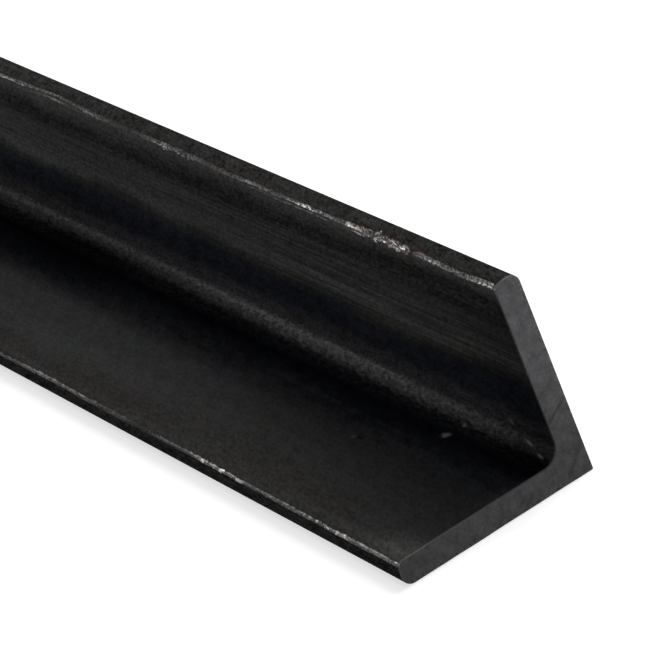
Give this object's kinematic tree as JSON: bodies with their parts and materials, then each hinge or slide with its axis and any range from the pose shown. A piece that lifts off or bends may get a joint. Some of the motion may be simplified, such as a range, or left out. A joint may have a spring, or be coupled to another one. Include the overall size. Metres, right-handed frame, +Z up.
{
  "type": "metal angle section",
  "caption": "Equal-leg hot-rolled steel angle, sawn square at the ends: straight L-section stock for frames, brackets and supports.",
  "frame": {"origin": "on the floor, under the middle of the footprint of the flat leg", "axes": "+X along the length, +Y towards the back face of the upright leg, +Z up"},
  "size_m": [1, 0.04, 0.04],
  "materials": {
    "mill_scale_steel": "blue-black mill scale, worn bright along the toe edges, with bare grey sawn ends"
  },
  "bodies": {
    "root": {"steel_angle": "mill_scale_steel"}
  },
  "joints": []
}
